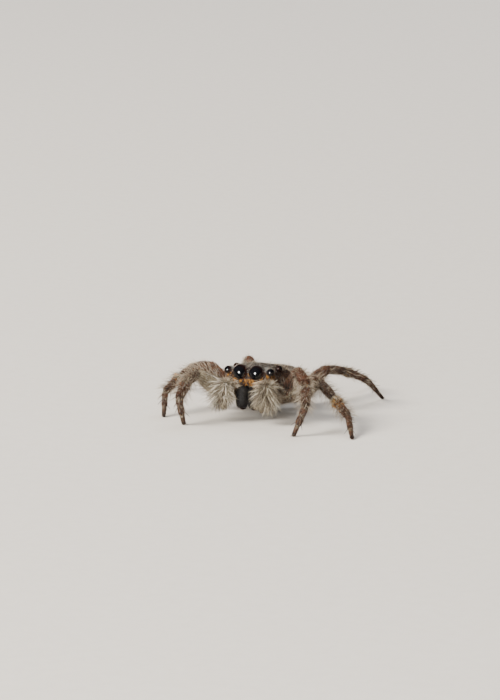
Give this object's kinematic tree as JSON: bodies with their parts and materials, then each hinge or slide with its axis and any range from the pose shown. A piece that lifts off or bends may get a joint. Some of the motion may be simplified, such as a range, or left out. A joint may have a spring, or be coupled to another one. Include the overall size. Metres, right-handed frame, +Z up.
{
  "type": "jumping spider",
  "caption": "Still, life-size jumping spider standing on eight feet with its head raised, its eyes facing forward and its hairy feelers hanging in front of its jaws.",
  "frame": {"origin": "on the floor, under the middle of the whole model's box", "axes": "+Z up from the floor; the spider faces -Y; +X is its own left side"},
  "size_m": [0.0096, 0.0097, 0.0023],
  "materials": {
    "grey_coat": "short flat grey-brown hairs over a dark skin",
    "brown_leg_coat": "reddish brown skin with pale and dark hairs",
    "cream_hair": "long loose creamy white hairs",
    "black_shell": "glossy black shell",
    "eye_lens": "wet, mirror-smooth black lens"
  },
  "bodies": {
    "root": {"eye_front_middle_left": "eye_lens", "eye_front_middle_right": "eye_lens", "eye_front_side_left": "eye_lens", "eye_front_side_right": "eye_lens", "eye_small_left": "eye_lens", "eye_small_right": "eye_lens", "eye_rear_left": "eye_lens", "eye_rear_right": "eye_lens", "carapace": "grey_coat", "sternum": "brown_leg_coat", "chelicera_left": "black_shell", "chelicera_right": "black_shell", "fang_left": "black_shell", "fang_right": "black_shell", "palp_left": "cream_hair", "palp_right": "cream_hair", "abdomen": "grey_coat", "spinnerets": "brown_leg_coat", "pedicel": "brown_leg_coat", "leg_left_1_coxa": "brown_leg_coat", "leg_left_1_femur": "brown_leg_coat", "leg_left_1_patella": "brown_leg_coat", "leg_left_1_tibia": "brown_leg_coat", "leg_left_1_foot": "brown_leg_coat", "leg_left_2_coxa": "brown_leg_coat", "leg_left_2_femur": "brown_leg_coat", "leg_left_2_patella": "brown_leg_coat", "leg_left_2_tibia": "brown_leg_coat", "leg_left_2_foot": "brown_leg_coat", "leg_left_3_coxa": "brown_leg_coat", "leg_left_3_femur": "brown_leg_coat", "leg_left_3_patella": "brown_leg_coat", "leg_left_3_tibia": "brown_leg_coat", "leg_left_3_foot": "brown_leg_coat", "leg_left_4_coxa": "brown_leg_coat", "leg_left_4_femur": "brown_leg_coat", "leg_left_4_patella": "brown_leg_coat", "leg_left_4_tibia": "brown_leg_coat", "leg_left_4_foot": "brown_leg_coat", "leg_right_1_coxa": "brown_leg_coat", "leg_right_1_femur": "brown_leg_coat", "leg_right_1_patella": "brown_leg_coat", "leg_right_1_tibia": "brown_leg_coat", "leg_right_1_foot": "brown_leg_coat", "leg_right_2_coxa": "brown_leg_coat", "leg_right_2_femur": "brown_leg_coat", "leg_right_2_patella": "brown_leg_coat", "leg_right_2_tibia": "brown_leg_coat", "leg_right_2_foot": "brown_leg_coat", "leg_right_3_coxa": "brown_leg_coat", "leg_right_3_femur": "brown_leg_coat", "leg_right_3_patella": "brown_leg_coat", "leg_right_3_tibia": "brown_leg_coat", "leg_right_3_foot": "brown_leg_coat", "leg_right_4_coxa": "brown_leg_coat", "leg_right_4_femur": "brown_leg_coat", "leg_right_4_patella": "brown_leg_coat", "leg_right_4_tibia": "brown_leg_coat", "leg_right_4_foot": "brown_leg_coat"}
  },
  "joints": []
}
